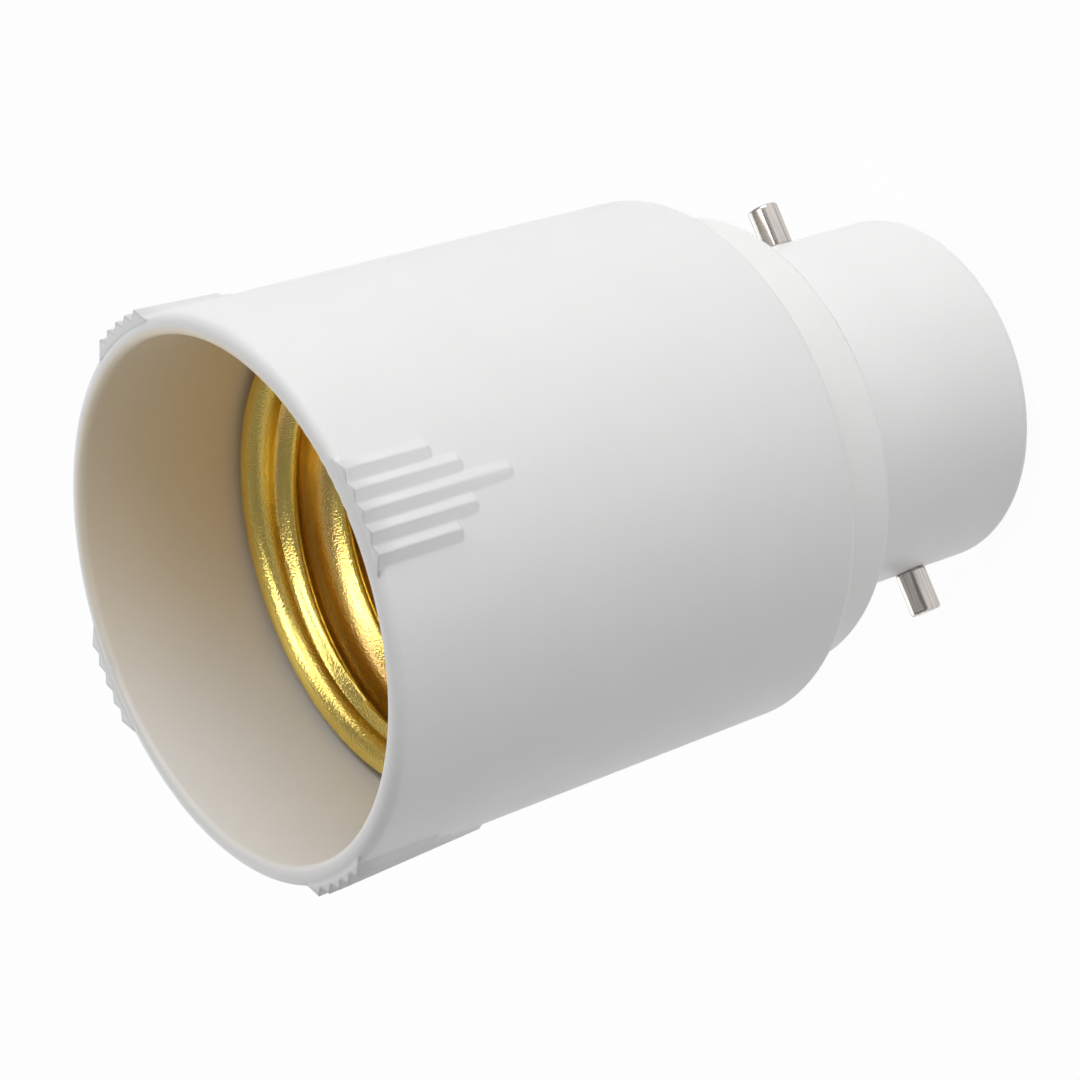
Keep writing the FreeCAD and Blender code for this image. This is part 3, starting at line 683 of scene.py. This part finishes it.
@dataclass
class BrassShell:
    """The screw shell: a cup of sheet brass with a rolled right-handed thread and a broad curled lip."""

    floor_top: float = 23.45 * MM
    floor_hole: float = 6.75 * MM
    corner_round: float = 0.9 * MM
    lower_wall: float = 11.95 * MM
    crest: float = 12.25 * MM
    root: float = 13.35 * MM
    pitch: float = 3.629 * MM
    phase: float = 0.14
    crest_width: float = 0.36
    thread_in: Fade = Fade(26.4 * MM, 28.4 * MM)
    thread_out: Fade = Fade(40.7 * MM, 41.1 * MM)
    lip_top: float = 42.4 * MM
    lip_inside: float = 13.01 * MM
    lip_roll: float = 1.3 * MM
    sheet: float = 0.35 * MM
    screw_place: float = 8.9 * MM
    screw_hole: float = 1.3 * MM
    segments: int = 180
    wall_rings: int = 225
    lip_rings: int = 18
    corner_rings: int = 6
    hole_segments: int = 32
    smooth_angle: float = 40.0
    # Its hollow colour is painted shade, browner and darker than the crests.
    finish: Finish = Metal(
        "bright_sheet_brass", light=(0.98, 0.78, 0.22), dark=(0.82, 0.6, 0.15), roughness=0.2,
        axis=Axis.ROUND, line_width=0.14 * MM, line_length=5 * MM, line_share=0.5,
        peel_size=0.13 * MM, peel_depth=0.028 * MM, line_depth=0.003 * MM, hollow=(0.92, 0.6, 0.24))

    def thread_radius(self, angle: float, height: float) -> float:
        """Work out the inner radius of the wall at one place.

        Args:
            angle: the angle about the axis.
            height: the height in the part's frame.

        Returns:
            The radius, which follows a right-handed helix between the plain wall and the lip.
        """
        turn = height / self.pitch - angle / math.tau + self.phase
        wave = math.sin(math.pi * turn) ** 2
        hollow = wave / (wave + self.crest_width * (1 - wave))
        threaded = self.crest + (self.root - self.crest) * hollow
        threaded += (self.lip_inside - threaded) * self.thread_out.share(height)
        return self.lower_wall + (threaded - self.lower_wall) * self.thread_in.share(height)

    def build(self) -> bpy.types.Object:
        """Model the shell from its threaded wall, its curled lip and its floor.

        Returns:
            The finished mesh object.
        """
        corner_top = self.floor_top + self.corner_round
        lip_start = self.lip_top - self.lip_roll
        shell = self._wall(corner_top, lip_start)
        slack = self.sheet / 10
        bpy.ops.object.mode_set(mode="EDIT")
        Workbench.pick_edges(shell, lambda a, b: min(a.z, b.z) > lip_start - slack)
        Workbench.draw_out((self.lip_inside, lip_start), Workbench.arc(
            (self.lip_inside + self.lip_roll, lip_start), self.lip_roll, 180, 90, self.lip_rings))
        Workbench.pick_edges(shell, lambda a, b: max(a.z, b.z) < corner_top + slack)
        corner = Workbench.arc(
            (self.lower_wall - self.corner_round, corner_top), self.corner_round, 0, -90, self.corner_rings)
        Workbench.draw_out((self.lower_wall, corner_top), corner + [(self.floor_hole, self.floor_top)])
        bpy.ops.mesh.select_all(action="SELECT")
        bpy.ops.mesh.remove_doubles(threshold=self.sheet / 100)
        bpy.ops.mesh.normals_make_consistent(inside=False)
        bpy.ops.object.mode_set(mode="OBJECT")
        self._face_inwards(shell)
        Workbench.apply(shell, "SOLIDIFY", thickness=self.sheet, offset=-1.0, use_even_offset=True)
        self._punch_screw_holes(shell)
        Workbench.pick_only(shell)
        bpy.ops.object.shade_smooth_by_angle(angle=math.radians(self.smooth_angle))
        return shell

    def _wall(self, bottom: float, top: float) -> bpy.types.Object:
        """Model the wall, with the thread rolled into it.

        Args:
            bottom: the height at which the floor's rounded corner ends.
            top: the height at which the lip starts.

        Returns:
            The wall, one face thick and open at both ends.
        """
        Workbench.clear_selection()
        bpy.ops.mesh.primitive_cylinder_add(
            vertices=self.segments, radius=self.lower_wall, depth=top - bottom,
            end_fill_type="NOTHING", location=(0, 0, (top + bottom) / 2))
        wall = bpy.context.object
        wall.name = "rolled_screw_shell"
        bpy.ops.object.transform_apply(location=True, rotation=True, scale=True)
        bpy.ops.object.mode_set(mode="EDIT")
        Workbench.pick_edges(wall, lambda a, b: abs(a.z - b.z) > self.sheet)
        bpy.ops.mesh.subdivide(number_cuts=self.wall_rings)
        bpy.ops.object.mode_set(mode="OBJECT")
        for vertex in wall.data.vertices:
            x, y, z = vertex.co
            share = self.thread_radius(math.atan2(y, x), z) / math.hypot(x, y)
            vertex.co = (x * share, y * share, z)
        return wall

    def _face_inwards(self, shell: bpy.types.Object) -> None:
        """Turn all faces so that the wall's point at the axis.

        Args:
            shell: the shell, still one face thick.
        """
        bottom, top = self.thread_in.start, self.thread_out.end
        wall = next(face for face in shell.data.polygons if bottom < face.center.z < top)
        if wall.normal.x * wall.center.x + wall.normal.y * wall.center.y > 0:
            Workbench.pick_only(shell)
            bpy.ops.object.mode_set(mode="EDIT")
            bpy.ops.mesh.select_all(action="SELECT")
            bpy.ops.mesh.flip_normals()
            bpy.ops.object.mode_set(mode="OBJECT")

    def _punch_screw_holes(self, shell: bpy.types.Object) -> None:
        """Cut the two screw holes through the floor.

        Args:
            shell: the shell with its full thickness.
        """
        for side in (1, -1):
            Workbench.clear_selection()
            bpy.ops.mesh.primitive_cylinder_add(
                vertices=self.hole_segments, radius=self.screw_hole, depth=4 * self.sheet,
                location=(side * self.screw_place, 0, self.floor_top - self.sheet / 2))
            punch = bpy.context.object
            Workbench.apply(shell, "BOOLEAN", object=punch, operation="DIFFERENCE", solver="EXACT")
            bpy.data.objects.remove(punch)

    def place(self) -> None:
        """Build the shell, dress it, and let it stand for its CAD node."""
        shell = self.build()
        shell.data.materials.clear()
        shell.data.materials.append(self.finish.material())
        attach(shell, Body.ADAPTER.value)
        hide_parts("screw_shell")
        LOG.info("built %s with %d faces", shell.name, len(shell.data.polygons))


@dataclass(frozen=True)
class Lamp:
    """A soft square lamp that hangs about the part and faces its middle."""

    name: str
    direction: tuple[float, float, float]
    size: float
    power: float
    distance: float = 0.6
    lights_matt: bool = True

    def hang(self) -> None:
        """Build the lamp at its place."""
        data = bpy.data.lights.new(self.name, "AREA")
        data.shape = "SQUARE"
        data.size = self.size
        data.energy = self.power
        lamp = bpy.data.objects.new(self.name, data)
        bpy.context.scene.collection.objects.link(lamp)
        middle = (CAD_BOX[0] + CAD_BOX[1]) / 2
        direction = Vector(self.direction)
        lamp.location = middle + direction.normalized() * self.distance
        lamp.rotation_mode = "QUATERNION"
        lamp.rotation_quaternion = direction.to_track_quat("Z", "Y")
        lamp.visible_diffuse = self.lights_matt
        LOG.info("hung %s", self.name)


@dataclass
class Studio:
    """The pale floor, the world, the soft lamps and the camera."""

    camera_place: tuple[float, float, float] = (-23.625 * MM, -180.76 * MM, 154.153 * MM)
    view_direction: tuple[float, float, float] = (0.0985, 0.8238, -0.5583)
    image_up: tuple[float, float, float] = (0.9247, -0.2830, -0.2544)
    lens: float = 123.95
    sensor_width: float = 36.0
    clip_start: float = 0.005
    clip_end: float = 20.0
    floor_size: float = 4.0
    floor_drop: float = 0.02 * MM
    floor_colour: Colour = (0.97, 0.97, 0.97)
    floor_roughness: float = 0.9
    floor_gloss: float = 0.1
    floor_glow: float = 0.96
    ambient: float = 0.39
    ceiling: float = 0.24
    backdrop: float = 1.0
    backdrop_rise: Fade = Fade(0.5, 0.2)
    key: Lamp = Lamp("key", (0.72, -0.69, 0.29), size=0.5, power=2.32)
    fill: Lamp = Lamp("fill", (0.05, 0.93, 0.36), size=0.5, power=1.0)
    mirror_panel: Lamp = Lamp("mirror_panel", (0.205, -0.391, 0.896), size=0.3, power=1.2, lights_matt=False)

    def build(self) -> None:
        """Set up the floor, the world, the lamps and the camera."""
        self._floor()
        self._world()
        for lamp in (self.key, self.fill, self.mirror_panel):
            lamp.hang()
        self._camera()
        bpy.context.scene.view_settings.view_transform = "Standard"

    def _floor(self) -> None:
        """Lay a plain white floor that keeps the part's shadow."""
        Workbench.clear_selection()
        bpy.ops.mesh.primitive_plane_add(size=self.floor_size, location=(0, 0, -self.floor_drop))
        floor = bpy.context.object
        floor.name = "studio_floor"
        material, graph, shader, _ = start_material("studio_white")
        shader.inputs["Base Color"].default_value = (*self.floor_colour, 1)
        shader.inputs["Roughness"].default_value = self.floor_roughness
        shader.inputs["Specular IOR Level"].default_value = self.floor_gloss
        glow = graph.node("ShaderNodeEmission", {"Color": WHITE, "Strength": self.backdrop})
        share = graph.product(self._seen_directly(graph), self.floor_glow)
        mixed = graph.node("ShaderNodeMixShader", {0: share, 1: shader.outputs[0], 2: glow.outputs[0]})
        target = next(n for n in graph.tree.nodes if n.type == "OUTPUT_MATERIAL")
        graph.join(mixed.outputs[0], target.inputs["Surface"])
        floor.data.materials.append(material)

    @staticmethod
    def _seen_directly(graph: Graph) -> Socket:
        """Build a mask of the rays that show the backdrop: seen directly, mirrored or through glass.

        Args:
            graph: the graph that gets the mask.

        Returns:
            The mask's output socket.
        """
        path = graph.node("ShaderNodeLightPath").outputs
        direct = graph.math("MAXIMUM", path["Is Camera Ray"], path["Is Glossy Ray"])
        return graph.math("MAXIMUM", direct, path["Is Transmission Ray"])

    def _world(self) -> None:
        """Surround the part with even light, a white backdrop all round and a dimmer ceiling to mirror."""
        world = bpy.data.worlds.new("studio")
        bpy.context.scene.world = world
        world.use_nodes = True
        graph = Graph(world.node_tree)
        graph.tree.nodes.clear()
        glossy = graph.node("ShaderNodeLightPath").outputs["Is Glossy Ray"]
        light = graph.node("ShaderNodeBackground", {
            "Color": WHITE, "Strength": graph.spread(glossy, self.ambient, self.ceiling)})
        shown = graph.node("ShaderNodeBackground", {"Color": WHITE, "Strength": self.backdrop})
        direction = graph.node("ShaderNodeTexCoord").outputs["Generated"]
        rise = graph.node("ShaderNodeSeparateXYZ", {0: direction}).outputs["Z"]
        share = graph.product(self._seen_directly(graph), graph.band(rise, self.backdrop_rise))
        mixed = graph.node("ShaderNodeMixShader", {0: share, 1: light.outputs[0], 2: shown.outputs[0]})
        target = graph.node("ShaderNodeOutputWorld")
        graph.join(mixed.outputs[0], target.inputs["Surface"])

    def _camera(self) -> None:
        """Place the camera at the photo's viewpoint."""
        back = -Vector(self.view_direction).normalized()
        up = Vector(self.image_up).normalized()
        right = up.cross(back).normalized()
        up = back.cross(right)
        data = bpy.data.cameras.new("camera")
        data.lens = self.lens
        data.sensor_width = self.sensor_width
        data.clip_start = self.clip_start
        data.clip_end = self.clip_end
        camera = bpy.data.objects.new("camera", data)
        bpy.context.scene.collection.objects.link(camera)
        turned = Matrix((right, up, back)).transposed().to_4x4()
        camera.matrix_world = Matrix.Translation(Vector(self.camera_place)) @ turned
        bpy.context.scene.camera = camera


def main() -> None:
    """Dress the CAD nodes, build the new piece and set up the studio."""
    logging.basicConfig(level=logging.INFO, format="%(name)s: %(message)s")
    for finish, nodes in finishes():
        material = finish.material()
        for node in nodes:
            dress(node, material)
    BrassShell().place()
    Studio().build()


if __name__ == "__main__":
    main()
